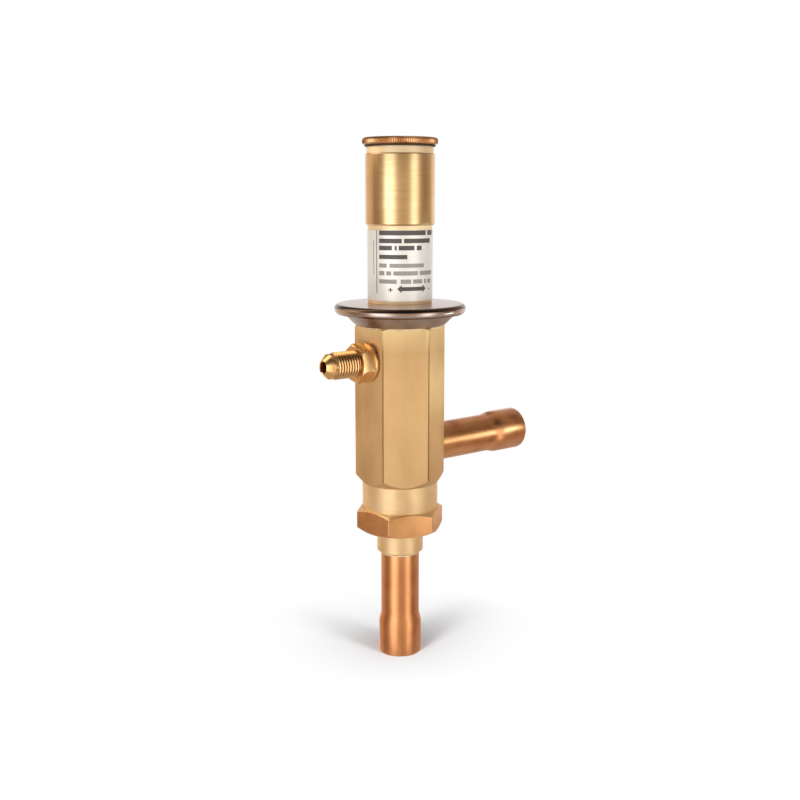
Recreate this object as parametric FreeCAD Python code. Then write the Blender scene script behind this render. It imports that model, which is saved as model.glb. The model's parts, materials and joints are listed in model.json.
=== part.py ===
import FreeCAD, Part
import math
import os

from FreeCAD import Vector

# Hot gas bypass valve for soldering into a refrigeration line, in millimetres.
# Origin: centre of the inlet tube's open end. +Z runs up the valve's axis, +X out along the
# outlet tube, and the pilot fitting points to -X. The gas enters at the foot, lifts the servo
# piston and leaves at the side.

# Solder tubes
pipe_d = 16.0  # pipe that slips into a socket
tube_d = 16.4  # the valve's own tubes, outside
tube_wall = 1.15
socket_depth = 14.0
swage_taper = 3.3
inlet_length = 45.8  # open end to boss
inlet_grip = 8.0  # brazed length inside the boss
outlet_reach = 66.3  # valve axis to open end
outlet_grip = 4.0
fillet_leg = 0.9  # legs of the braze fillets round the tubes

# Bottom connector, a hexagon with a boss below and a threaded spigot above
boss_d = 19.7
boss_height = 10.0
boss_chamfer = 0.5
nut_flats = 33.0
nut_height = 9.5
nut_turn = 7.0  # degrees that the tightened hexagon stands off the body's
hex_chamfer_angle = 30.0
spigot_d = 26.0
spigot_length = 11.5
seat_lip_height = 1.2
seat_lip_width = 1.2
seat_land = 0.8  # from the flow bore to the lip
gasket_width = 1.2
gasket_height = 1.3

# Valve body, turned from hexagon bar
body_flats = 33.0
body_length = 78.05
round_d = 32.0
round_height = 11.35
skirt_angle = 49.0  # degrees from level of the cone under the hexagon
crown_chamfer = 0.75
outlet_height = 25.45  # above the body's lower end
pilot_depth = 14.25  # below the body's upper end
chamber_d = 22.0
chamber_height = 47.7  # above the body's lower end
spigot_thread_height = 12.2
pin_bore_d = 8.0
pilot_bore_d = 10.0
cavity_drop = 3.15  # pilot port axis to the floor of the cavity
neck_d = 28.0  # neck through the lower shell, which stops the thrust plate
vent_width = 3.0
vent_depth = 1.5
port_d = 5.0

# Diaphragm case, two pressed shells with the diaphragm clamped in a rolled rim
braze_layer = 0.1
braze_lip = 0.45  # from the edge of the braze out to the bowl's bend
sheet = 1.3
least_bend = 1.0  # tighter inside corners are left sharp
bowl_floor_d = 37.0
bowl_depth = 5.95
bowl_top_d = 48.8
rim_d = 54.6
rim_hem = 2.85  # how far the rolled edge reaches back under
rim_play = 0.5  # clear of the clamped edge
rim_flat = 0.1  # left upright between the two bends of the roll
lid_rise = 0.6
lid_bend_d = 46.8
lid_ledge = 0.6  # flat ring outside the housing's foot
diaphragm_sheet = 0.3
diaphragm_dip = 0.6  # how far its middle hangs with the pilot open
wave_depth = 0.6
wave_margin = 2.0  # from the thrust plate out to the wave

# Spring housing, one turned brass tube, and its label
tube_step = 0.65  # shoulder of the spigot through the lid
housing_tube_d = 26.5
housing_bore_d = 21.6
sleeve_d = 28.5
housing_neck_d = 27.2
tube_length = 31.3
sleeve_length = 28.5
housing_neck_length = 2.8
sleeve_edge = 0.6  # chamfer below
sleeve_crown = 0.3  # chamfer above
label_thickness = 0.15
label_glue = 0.03  # layer under the film
label_start = 1.3  # above the lid
label_height = 28.3
label_gap = 3.0
label_gap_angle = 51.0  # degrees round from the outlet

# Cap
cap_d = 30.72
cap_height = 2.7
cap_edge = 0.5
knurl_pitch = 0.9
knurl_depth = 0.3
cap_thread_d = 23.6
cap_thread_length = 5.8
cap_thread_pitch = 1.0
cap_seal_d = 28.8
cap_seal_height = 0.75
cap_seal_play = 0.15

# Setting screw, spring seats and main spring
screw_height = 8.0
screw_drop = 11.5  # below the housing's mouth
screw_thread_pitch = 1.5
key_flats = 8.0
key_depth = 6.0
seat_play = 0.4
seat_height = 3.0
seat_hub_height = 3.4
seat_hub_play = 0.6
main_wire = 3.0
main_spring_play = 0.6
main_turns = 5.5
closed_pitch = 1.1  # of an end coil, as a share of the wire
coil_steps = 16  # sections in one turn of a spring

# Diaphragm's thrust plate and pressure pin
pilot_lift = 0.6
pilot_margin = 0.02
thrust_d = 24.0
thrust_height = 2.0
pin_d = 3.0
pin_tip_d = 1.4
pin_tip_length = 4.4
guide_height = 6.0
guide_drop = 1.0
guide_hole_d = 1.2
guide_holes = 3

# Pilot orifice, ball and spring
orifice_d = 2.0
orifice_insert_height = 4.0
ball_d = 3.2
ball_pocket_d = 5.2
ball_pocket_depth = 1.6
carrier_d = 4.6
carrier_height = 1.7
carrier_cup = 0.5
carrier_stem_d = 1.8
carrier_stem_length = 1.2
pilot_plug_height = 2.5
pilot_plug_hole_d = 1.6
pilot_spring_recess = 0.8
pilot_wire = 0.45
pilot_spring_mean_d = 3.2
pilot_turns = 4.5

# Servo piston
piston_lift = 5.0
piston_height = 7.8
piston_rise = 21.2  # valve seat to the piston's lower face
piston_pocket_in_d = 9.0
piston_pocket_out_d = 15.8
piston_pocket_depth = 6.0
stem_d = 6.4
stem_thread_d = 4.4
bleed_d = 1.2
ring_height = 1.9
ring_depth = 1.35
ring_rise = 3.3  # above the piston's lower face
ring_play = 0.05
plate_d = 20.0
plate_height = 3.0
plate_nut_flats = 8.0
plate_nut_height = 2.4
closing_wire = 1.3
closing_spring_mean_d = 12.4
closing_turns = 5.0

# Pilot fitting, a flare connection screwed into the body
fitting_gasket = 0.8
fitting_gasket_d = 14.0
collar_d = 15.8
collar_height = 1.1
fitting_flats = 14.3
fitting_hex_length = 5.6
fitting_turn = 12.0  # degrees that the tightened hexagon stands off upright
fitting_neck_d = 9.4
fitting_neck_length = 1.4
flare_thread_d = 11.1
flare_thread_length = 9.2
flare_land_d = 10.2
flare_land_length = 2.0
flare_tip_d = 5.2
fitting_bore_d = 4.6
fitting_root_d = 10.0
fitting_root_length = 7.8

# Fits
running_gap = 0.05  # radial, on everything that slides or screws

# Heights and radii that follow
tube_r = tube_d / 2
flow_r = tube_r - tube_wall
socket_r = pipe_d / 2
swage_r = socket_r + tube_wall
boss_z = inlet_length
nut_z = boss_z + boss_height
body_z = nut_z + nut_height
spigot_top_z = body_z + spigot_length
seat_z = spigot_top_z + seat_lip_height
chamber_r = chamber_d / 2
chamber_z = body_z + chamber_height
outlet_z = body_z + outlet_height
body_top_z = body_z + body_length
pilot_z = body_top_z - pilot_depth
cavity_z = pilot_z - cavity_drop

case_z = body_top_z + braze_layer
flange_z = case_z + bowl_depth
clamp_z = flange_z + sheet
lid_z = clamp_z + diaphragm_sheet
lid_top_z = lid_z + sheet
hem_z = flange_z - sheet
rim_r = rim_d / 2
rim_bend = (lid_top_z - hem_z - rim_flat) / 2
clamp_r = rim_r - sheet - rim_play
collar_z = lid_top_z + lid_rise

housing_bore_r = housing_bore_d / 2
step_r = housing_tube_d / 2 - tube_step
sleeve_z = collar_z + tube_length
housing_neck_z = sleeve_z + sleeve_length
mouth_z = housing_neck_z + housing_neck_length
label_z = collar_z + label_start
cap_z = mouth_z + cap_seal_height
cap_bore_r = cap_thread_d / 2 + running_gap
cap_thread_z = cap_z - cap_seal_height - cap_thread_length

screw_top_z = mouth_z - screw_drop
screw_z = screw_top_z - screw_height
screw_r = housing_bore_r - running_gap
seat_r = housing_bore_r - seat_play
main_spring_out_r = housing_bore_r - main_spring_play
main_spring_in_r = main_spring_out_r - main_wire
seat_hub_r = main_spring_in_r - seat_hub_play
upper_seat_z = screw_z - seat_height

diaphragm_z = clamp_z - diaphragm_dip
lower_seat_z = diaphragm_z + diaphragm_sheet
main_spring_z = lower_seat_z + seat_height
thrust_z = diaphragm_z - thrust_height
neck_top_z = thrust_z
guide_top_z = neck_top_z - guide_drop
pin_r = pin_d / 2

orifice_z = cavity_z - orifice_insert_height + ball_pocket_depth
ball_r = ball_d / 2
ball_shut_z = orifice_z - math.sqrt(ball_r ** 2 - (orifice_d / 2) ** 2)
ball_z = ball_shut_z - pilot_lift - pilot_margin
carrier_top_z = ball_z - ball_r + carrier_cup
carrier_z = carrier_top_z - carrier_height
pilot_spring_z = chamber_z + pilot_plug_height - pilot_spring_recess

plate_z = seat_z
plate_top_z = plate_z + plate_height
piston_z = seat_z + piston_rise
piston_top_z = piston_z + piston_height
pocket_z = piston_top_z - piston_pocket_depth
piston_r = chamber_r - running_gap

body_face_x = -body_flats / 2
fitting_face_x = body_face_x - fitting_gasket


def at(r, z):
    return Vector(r, 0, z)


def face_of(start, steps):
    """Flat face in the XZ plane. A step is a corner (r, z), or an arc's middle and end."""
    edges = []
    here = at(*start)
    for step in list(steps) + [start]:
        if isinstance(step[0], tuple):
            middle, end = at(*step[0]), at(*step[1])
            edges.append(Part.Arc(here, middle, end).toShape())
        else:
            end = at(*step)
            if (end - here).Length > 1e-7:
                edges.append(Part.LineSegment(here, end).toShape())
        here = end
    return Part.Face(Part.Wire(edges))


def turned(start, *steps):
    """Solid turned about the valve's axis from its half section."""
    return face_of(start, steps).revolve(Vector(0, 0, 0), Vector(0, 0, 1), 360)


def tube(outer_r, inner_r, bottom, top):
    return turned((inner_r, bottom), (outer_r, bottom), (outer_r, top), (inner_r, top))


def rod(radius, bottom, top):
    return Part.makeCylinder(radius, top - bottom, at(0, bottom))


def hexagon(flats, bottom, top, turn=0.0):
    """Six-sided bar with a flat towards +X when turn is 0."""
    corner_r = flats / math.sqrt(3)
    corners = [
        Vector(corner_r * math.cos(a), corner_r * math.sin(a), bottom)
        for a in (math.radians(turn + 30 + 60 * k) for k in range(7))
    ]
    return Part.Face(Part.makePolygon(corners)).extrude(at(0, top - bottom))


def towards(solid, direction, x, z):
    """Stands a solid that was made about +Z from height 0 out along +X or -X instead."""
    laid = solid.copy()
    laid.rotate(Vector(0, 0, 0), Vector(0, 1, 0), 90 * direction)
    laid.translate(Vector(x, 0, z))
    return laid


def rounded_edges(points, bends):
    """Edges through the points, each inner corner rounded by its radius in bends, 0 for sharp."""
    edges = []
    here = at(*points[0])
    for before, corner, after, bend in zip(points, points[1:], points[2:], bends):
        incoming = (at(*corner) - at(*before)).normalize()
        outgoing = (at(*after) - at(*corner)).normalize()
        half_turn = incoming.getAngle(outgoing) / 2
        cut = bend * math.tan(half_turn)
        start = at(*corner) - incoming * cut
        end = at(*corner) + outgoing * cut
        inward = (outgoing - incoming).normalize()
        middle = at(*corner) + inward * (bend / math.cos(half_turn) - bend)
        if (start - here).Length > 1e-6:
            edges.append(Part.LineSegment(here, start).toShape())
        if bend > 0:
            edges.append(Part.Arc(start, middle, end).toShape())
        here = end
    edges.append(Part.LineSegment(here, at(*points[-1])).toShape())
    return edges


def pressed(points, bends, thickness):
    """Sheet metal turned from one side of its section, thickened to the right of the line."""
    headings = [math.atan2(b[1] - a[1], b[0] - a[0]) for a, b in zip(points, points[1:])]
    far_points = []
    far_bends = []
    for k, (r, z) in enumerate(points):
        before = headings[max(k - 1, 0)]
        after = headings[min(k, len(headings) - 1)]
        bent = math.remainder(after - before, 2 * math.pi)
        middle = before + bent / 2
        reach = thickness / math.cos(bent / 2)
        far_points.append((r + reach * math.sin(middle), z - reach * math.cos(middle)))
        if 0 < k < len(points) - 1:
            bend = bends[k - 1] + math.copysign(thickness, bent)
            far_bends.append(bend if bends[k - 1] > 0 and bend > least_bend else 0)
    near = rounded_edges(points, bends)
    far = rounded_edges(far_points, far_bends)
    ends = [
        Part.LineSegment(at(*points[0]), at(*far_points[0])).toShape(),
        Part.LineSegment(at(*points[-1]), at(*far_points[-1])).toShape(),
    ]
    section = Part.Face(Part.Wire(Part.__sortEdges__(near + far + ends)))
    return section.revolve(Vector(0, 0, 0), Vector(0, 0, 1), 360)


def coil(outer_r, wire, bottom, top, turns):
    """Square-wire spring with a closed coil at each end, in flat facets."""
    end_pitch = closed_pitch * wire
    levels = [
        (0.0, bottom),
        (1.0, bottom + end_pitch),
        (turns - 1.0, top - wire - end_pitch),
        (turns, top - wire),
    ]
    rings = []
    for k in range(round(turns * coil_steps) + 1):
        turn = k / coil_steps
        for (turn_a, low_a), (turn_b, low_b) in zip(levels, levels[1:]):
            if turn_a <= turn <= turn_b + 1e-9:
                low = low_a + (low_b - low_a) * (turn - turn_a) / (turn_b - turn_a)
        inner_r = outer_r - wire
        section = [(inner_r, low), (outer_r, low), (outer_r, low + wire), (inner_r, low + wire)]
        spin = FreeCAD.Rotation(Vector(0, 0, 1), 360 * turn)
        rings.append([spin.multVec(at(*corner)) for corner in section])
    facets = [rings[0], rings[-1]]
    for ring, following in zip(rings, rings[1:]):
        for k in range(4):
            near, far = ring[k], ring[(k + 1) % 4]
            far_next, near_next = following[(k + 1) % 4], following[k]
            facets.append([near, far, far_next])
            facets.append([near, far_next, near_next])
    faces = [Part.Face(Part.makePolygon(corners + corners[:1])) for corners in facets]
    return Part.Solid(Part.makeShell(faces))


def fillet_ring(radius, z):
    """Braze fillet hanging below a face, round a tube."""
    return turned((radius, z), (radius, z - fillet_leg), (radius + fillet_leg, z))


def make_swaged_tube(length):
    """Tube from its open socket at height 0, belled out to take the pipe."""
    taper_z = socket_depth + swage_taper
    return turned(
        (swage_r, 0),
        (swage_r, socket_depth),
        (tube_r, taper_z),
        (tube_r, length),
        (flow_r, length),
        (flow_r, taper_z),
        (socket_r, socket_depth),
        (socket_r, 0),
    )


def make_inlet_tube():
    return make_swaged_tube(inlet_length + inlet_grip)


def make_outlet_tube():
    root_x = body_flats / 2 - outlet_grip
    blank = make_swaged_tube(outlet_reach - root_x)
    return towards(blank, -1, outlet_reach, outlet_z)


def make_inlet_braze():
    return fillet_ring(tube_r, boss_z)


def make_outlet_braze():
    return towards(fillet_ring(tube_r, 0), -1, body_flats / 2, outlet_z)


def make_bottom_connector():
    boss_r = boss_d / 2
    spigot_r = spigot_d / 2
    lip_in_r = flow_r + seat_land
    lip_out_r = lip_in_r + seat_lip_width
    corner_r = nut_flats / math.sqrt(3)
    crown_r = nut_flats / 2
    fall = (corner_r - crown_r) * math.tan(math.radians(hex_chamfer_angle))
    envelope = turned(
        (0, nut_z),
        (crown_r, nut_z),
        (corner_r, nut_z + fall),
        (corner_r, body_z - fall),
        (crown_r, body_z),
        (0, body_z),
    )
    nut = hexagon(nut_flats, nut_z, body_z, nut_turn).common(envelope)
    core = turned(
        (0, boss_z),
        (boss_r - boss_chamfer, boss_z),
        (boss_r, boss_z + boss_chamfer),
        (boss_r, nut_z),
        (spigot_r, nut_z),
        (spigot_r, spigot_top_z),
        (lip_out_r, spigot_top_z),
        (lip_out_r, seat_z),
        (lip_in_r, seat_z),
        (lip_in_r, spigot_top_z),
        (0, spigot_top_z),
    )
    bored = nut.fuse(core).cut(rod(flow_r, boss_z, seat_z))
    return bored.cut(rod(tube_r, boss_z, boss_z + inlet_grip)).removeSplitter()


def make_connector_gasket():
    spigot_r = spigot_d / 2
    return tube(spigot_r + gasket_width, spigot_r, body_z, body_z + gasket_height)


def make_valve_body():
    corner_r = body_flats / math.sqrt(3)
    round_r = round_d / 2
    round_z = body_z + round_height
    skirt_z = round_z + (corner_r - round_r) * math.tan(math.radians(skirt_angle))
    crown_r = corner_r - crown_chamfer
    bar = hexagon(body_flats, body_z, body_top_z)
    envelope = turned(
        (0, body_z),
        (round_r, body_z),
        (round_r, round_z),
        (corner_r, skirt_z),
        (corner_r, body_top_z - crown_chamfer),
        (crown_r, body_top_z),
        (0, body_top_z),
    )
    outside = bar.common(envelope).fuse(rod(neck_d / 2, body_top_z, neck_top_z))
    thread_z = body_z + spigot_thread_height
    spigot_r = spigot_d / 2
    bore = turned(
        (0, body_z),
        (spigot_r + gasket_width, body_z),
        (spigot_r + gasket_width, body_z + gasket_height),
        (spigot_r, body_z + gasket_height),
        (spigot_r, thread_z),
        (chamber_r, thread_z),
        (chamber_r, chamber_z),
        (pilot_bore_d / 2, chamber_z),
        (pilot_bore_d / 2, cavity_z),
        (pin_bore_d / 2, cavity_z),
        (pin_bore_d / 2, neck_top_z),
        (0, neck_top_z),
    )
    outlet_root_x = body_flats / 2 - outlet_grip
    outlet_port = towards(rod(flow_r, 0, outlet_root_x), 1, 0, outlet_z)
    outlet_socket = towards(rod(tube_r, 0, outlet_grip), 1, outlet_root_x, outlet_z)
    pilot_port = towards(rod(port_d / 2, 0, body_flats / 2), -1, 0, pilot_z)
    pilot_thread = towards(
        rod(fitting_root_d / 2, 0, fitting_root_length), 1, body_face_x, pilot_z
    )
    vent = Part.makeBox(neck_d, vent_width, vent_depth)
    vent.translate(Vector(-neck_d / 2, -vent_width / 2, neck_top_z - vent_depth))
    return outside.cut([bore, outlet_port, outlet_socket, pilot_port, pilot_thread, vent])


def make_pilot_gasket():
    ring = tube(fitting_gasket_d / 2, fitting_root_d / 2, 0, fitting_gasket)
    return towards(ring, -1, body_face_x, pilot_z)


def make_pilot_fitting():
    """Flare fitting, made standing on its collar and then laid out to -X."""
    root_r = fitting_root_d / 2
    collar_r = collar_d / 2
    hex_r = fitting_flats / 2
    corner_r = fitting_flats / math.sqrt(3)
    fall = (corner_r - hex_r) * math.tan(math.radians(hex_chamfer_angle))
    hex_top = collar_height + fitting_hex_length
    thread_z = hex_top + fitting_neck_length
    land_z = thread_z + flare_thread_length
    cone_z = land_z + flare_land_length
    land_r = flare_land_d / 2
    tip_r = flare_tip_d / 2
    tip_z = cone_z + land_r - tip_r
    thread_r = flare_thread_d / 2
    thread_lead = thread_r - fitting_neck_d / 2
    foot = -fitting_gasket - fitting_root_length
    shank = turned(
        (0, foot),
        (root_r, foot),
        (root_r, 0),
        (collar_r, 0),
        (collar_r, collar_height),
        (fitting_neck_d / 2, collar_height),
        (fitting_neck_d / 2, thread_z - thread_lead),
        (thread_r, thread_z),
        (thread_r, land_z),
        (land_r, land_z),
        (land_r, cone_z),
        (tip_r, tip_z),
        (0, tip_z),
    )
    crown = turned(
        (0, collar_height), (corner_r, collar_height), (corner_r, hex_top - fall), (hex_r, hex_top),
        (0, hex_top)
    )
    corner_up = 30.0
    bar = hexagon(fitting_flats, collar_height, hex_top, corner_up + fitting_turn)
    bored = shank.fuse(bar.common(crown)).cut(rod(fitting_bore_d / 2, foot, tip_z))
    return towards(bored.removeSplitter(), -1, fitting_face_x, pilot_z)


def make_lower_shell():
    floor_r = bowl_floor_d / 2
    top_r = bowl_top_d / 2
    line = [(clamp_r, flange_z), (top_r, flange_z), (floor_r, case_z), (neck_d / 2, case_z)]
    return pressed(line, [0, 0], sheet)


def make_upper_shell():
    line = [
        (step_r, collar_z),
        (housing_tube_d / 2 + lid_ledge, collar_z),
        (lid_bend_d / 2, lid_top_z),
        (rim_r, lid_top_z),
        (rim_r, hem_z),
        (rim_r - rim_hem, hem_z),
    ]
    return pressed(line, [0, 0, rim_bend, rim_bend], sheet)


def make_diaphragm():
    """Thin disc with one wave, flat where it is clamped and where the seat bears on it."""
    wave_out_r = bowl_top_d / 2 - sheet
    wave_in_r = thrust_d / 2 + wave_margin
    line = [
        (0, lower_seat_z),
        (wave_in_r, lower_seat_z),
        ((wave_in_r + wave_out_r) / 2, lower_seat_z - wave_depth),
        (wave_out_r, lid_z),
        (clamp_r, lid_z),
    ]
    return pressed(line, [0, 0, 0], diaphragm_sheet)


def make_case_braze():
    """Braze drawn in under the case and standing in the corners over the body's flats."""
    pool_r = bowl_floor_d / 2
    pool = turned(
        (neck_d / 2, case_z),
        (neck_d / 2, body_top_z),
        (body_flats / 2 - fillet_leg, body_top_z - fillet_leg),
        (body_flats / 2, body_top_z - fillet_leg),
        (pool_r - braze_lip, case_z),
    )
    bar = hexagon(body_flats, body_z, body_top_z)
    return pool.cut(bar)


def make_spring_housing():
    tube_r_out = housing_tube_d / 2
    sleeve_r = sleeve_d / 2
    neck_r = housing_neck_d / 2
    lid_z_inside = collar_z - sheet
    return turned(
        (housing_bore_r, lid_z_inside),
        (step_r, lid_z_inside),
        (step_r, collar_z),
        (tube_r_out, collar_z),
        (tube_r_out, sleeve_z),
        (sleeve_r - sleeve_edge, sleeve_z),
        (sleeve_r, sleeve_z + sleeve_edge),
        (sleeve_r, housing_neck_z - sleeve_crown),
        (sleeve_r - sleeve_crown, housing_neck_z),
        (neck_r, housing_neck_z),
        (neck_r, mouth_z),
        (cap_bore_r, mouth_z),
        (cap_bore_r, cap_thread_z - running_gap),
        (housing_bore_r, cap_thread_z - running_gap),
    )


def make_label():
    inner_r = housing_tube_d / 2 + label_glue
    wrap = tube(inner_r + label_thickness, inner_r, label_z, label_z + label_height)
    slot = Part.makeBox(housing_tube_d, label_gap, label_height)
    slot.translate(Vector(0, -label_gap / 2, label_z))
    slot.rotate(Vector(0, 0, 0), Vector(0, 0, 1), label_gap_angle)
    return wrap.cut(slot)


def make_cap_seal():
    inner_r = cap_thread_d / 2 + cap_seal_play
    return tube(cap_seal_d / 2, inner_r, mouth_z, cap_z)


def make_cap():
    """Disc with a straight knurl between two plain rims, over a threaded plug."""
    cap_r = cap_d / 2
    rim_r_out = cap_r - knurl_depth
    top = cap_z + cap_height
    core = turned(
        (0, cap_thread_z),
        (cap_thread_d / 2, cap_thread_z),
        (cap_thread_d / 2, cap_z),
        (rim_r_out - cap_edge, cap_z),
        (rim_r_out, cap_z + cap_edge),
        (rim_r_out, top - cap_edge),
        (rim_r_out - cap_edge, top),
        (0, top),
    )
    teeth = round(math.pi * cap_d / knurl_pitch)
    crests = []
    for k in range(2 * teeth):
        angle = math.pi * k / teeth
        radius = cap_r - knurl_depth * (k % 2)
        crests.append(Vector(radius * math.cos(angle), radius * math.sin(angle), cap_z + cap_edge))
    outline = Part.makePolygon(crests + crests[:1])
    knurl = Part.Face(outline).extrude(at(0, cap_height - 2 * cap_edge))
    return core.fuse(knurl).removeSplitter()


def make_setting_screw():
    disc = rod(screw_r, screw_z, screw_top_z)
    return disc.cut(hexagon(key_flats, screw_top_z - key_depth, screw_top_z))


def make_upper_spring_seat():
    return turned(
        (0, screw_z),
        (seat_r, screw_z),
        (seat_r, upper_seat_z),
        (seat_hub_r, upper_seat_z),
        (seat_hub_r, upper_seat_z - seat_hub_height),
        (0, upper_seat_z - seat_hub_height),
    )


def make_lower_spring_seat():
    return turned(
        (0, lower_seat_z),
        (seat_r, lower_seat_z),
        (seat_r, main_spring_z),
        (seat_hub_r, main_spring_z),
        (seat_hub_r, main_spring_z + seat_hub_height),
        (0, main_spring_z + seat_hub_height),
    )


def make_main_spring():
    return coil(main_spring_out_r, main_wire, main_spring_z, upper_seat_z, main_turns)


def make_thrust_plate():
    return rod(thrust_d / 2, thrust_z, diaphragm_z)


def make_pin_guide():
    outer_r = pin_bore_d / 2
    bush = tube(outer_r, pin_r + running_gap, guide_top_z - guide_height, guide_top_z)
    pitch_r = (outer_r + pin_r) / 2
    hole = rod(guide_hole_d / 2, guide_top_z - guide_height, guide_top_z)
    hole.translate(Vector(pitch_r, 0, 0))
    holes = []
    for k in range(guide_holes):
        gas_way = hole.copy()
        gas_way.rotate(Vector(0, 0, 0), Vector(0, 0, 1), 360.0 * k / guide_holes)
        holes.append(gas_way)
    return bush.cut(holes)


def make_pressure_pin():
    tip_r = pin_tip_d / 2
    tip_z = ball_z + ball_r
    shoulder_z = tip_z + pin_tip_length
    return turned(
        (0, tip_z),
        (tip_r, tip_z),
        (tip_r, shoulder_z),
        (pin_r, shoulder_z + pin_r - tip_r),
        (pin_r, thrust_z),
        (0, thrust_z),
    )


def make_pilot_orifice():
    bottom = cavity_z - orifice_insert_height
    return turned(
        (ball_pocket_d / 2, bottom),
        (pilot_bore_d / 2, bottom),
        (pilot_bore_d / 2, cavity_z),
        (orifice_d / 2, cavity_z),
        (orifice_d / 2, orifice_z),
        (ball_pocket_d / 2, orifice_z),
    )


def make_pilot_ball():
    return Part.makeSphere(ball_r, at(0, ball_z))


def make_ball_carrier():
    cup = rod(carrier_d / 2, carrier_z, carrier_top_z)
    stem = rod(carrier_stem_d / 2, carrier_z - carrier_stem_length, carrier_z)
    return cup.fuse(stem).removeSplitter().cut(make_pilot_ball())


def make_pilot_plug():
    plug = rod(pilot_bore_d / 2, chamber_z, chamber_z + pilot_plug_height)
    recess_r = (pilot_spring_mean_d + pilot_wire) / 2 + running_gap
    recess = rod(recess_r, pilot_spring_z, chamber_z + pilot_plug_height)
    gas_way = rod(pilot_plug_hole_d / 2, chamber_z, pilot_spring_z)
    return plug.cut([recess, gas_way])


def make_pilot_spring():
    outer_r = (pilot_spring_mean_d + pilot_wire) / 2
    return coil(outer_r, pilot_wire, pilot_spring_z, carrier_z, pilot_turns)


def make_servo_piston():
    """Piston and valve stem in one piece, with the bleed hole through both."""
    stem_r = stem_d / 2
    groove_z = piston_z + ring_rise
    groove_r = piston_r - ring_depth
    pocket_in_r = piston_pocket_in_d / 2
    pocket_out_r = piston_pocket_out_d / 2
    bleed_r = bleed_d / 2
    foot = plate_z - plate_nut_height
    return turned(
        (bleed_r, foot),
        (stem_thread_d / 2, foot),
        (stem_thread_d / 2, plate_top_z),
        (stem_r, plate_top_z),
        (stem_r, piston_z),
        (piston_r, piston_z),
        (piston_r, groove_z),
        (groove_r, groove_z),
        (groove_r, groove_z + ring_height),
        (piston_r, groove_z + ring_height),
        (piston_r, piston_top_z),
        (pocket_out_r, piston_top_z),
        (pocket_out_r, pocket_z),
        (pocket_in_r, pocket_z),
        (pocket_in_r, piston_top_z),
        (bleed_r, piston_top_z),
    )


def make_piston_ring():
    groove_z = piston_z + ring_rise
    inner_r = piston_r - ring_depth + ring_play
    outer_r = chamber_r - running_gap / 2
    return tube(outer_r, inner_r, groove_z, groove_z + ring_height)


def make_valve_plate():
    return tube(plate_d / 2, stem_thread_d / 2, plate_z, plate_top_z)


def make_plate_nut():
    bottom = plate_z - plate_nut_height
    return hexagon(plate_nut_flats, bottom, plate_z).cut(rod(stem_thread_d / 2, bottom, plate_z))


def make_closing_spring():
    outer_r = (closing_spring_mean_d + closing_wire) / 2
    return coil(outer_r, closing_wire, pocket_z, chamber_z, closing_turns)


pieces = {
    "knurled_cap": make_cap,
    "cap_seal": make_cap_seal,
    "spring_housing": make_spring_housing,
    "label": make_label,
    "setting_screw": make_setting_screw,
    "upper_spring_seat": make_upper_spring_seat,
    "main_spring": make_main_spring,
    "lower_spring_seat": make_lower_spring_seat,
    "upper_shell": make_upper_shell,
    "diaphragm": make_diaphragm,
    "lower_shell": make_lower_shell,
    "case_braze": make_case_braze,
    "thrust_plate": make_thrust_plate,
    "pressure_pin": make_pressure_pin,
    "pin_guide": make_pin_guide,
    "pilot_orifice": make_pilot_orifice,
    "pilot_ball": make_pilot_ball,
    "ball_carrier": make_ball_carrier,
    "pilot_spring": make_pilot_spring,
    "pilot_plug": make_pilot_plug,
    "valve_body": make_valve_body,
    "pilot_gasket": make_pilot_gasket,
    "pilot_fitting": make_pilot_fitting,
    "closing_spring": make_closing_spring,
    "servo_piston": make_servo_piston,
    "piston_ring": make_piston_ring,
    "valve_plate": make_valve_plate,
    "plate_nut": make_plate_nut,
    "bottom_connector": make_bottom_connector,
    "connector_gasket": make_connector_gasket,
    "inlet_tube": make_inlet_tube,
    "inlet_braze": make_inlet_braze,
    "outlet_tube": make_outlet_tube,
    "outlet_braze": make_outlet_braze,
}

os.makedirs("parts", exist_ok=True)
for name, make in pieces.items():
    shape = make()
    shape.exportStep("parts/" + name + ".step")
    print(name, "solids", len(shape.Solids), "volume", round(shape.Volume, 2), "valid", shape.isValid())

to_metres = 0.001
turn = 2 * math.pi
print("cap lift per radian, m:", cap_thread_pitch / turn * to_metres)
print("screw lift per radian, m:", screw_thread_pitch / turn * to_metres)
print("cap travel, mm:", cap_thread_length + running_gap, "piston lift, mm:", piston_lift)
print("heights, mm: outlet", outlet_z, "pilot", pilot_z, "top", cap_z + cap_height)
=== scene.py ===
import json
import math

import bmesh
import bpy
from mathutils import Matrix, Vector

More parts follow.
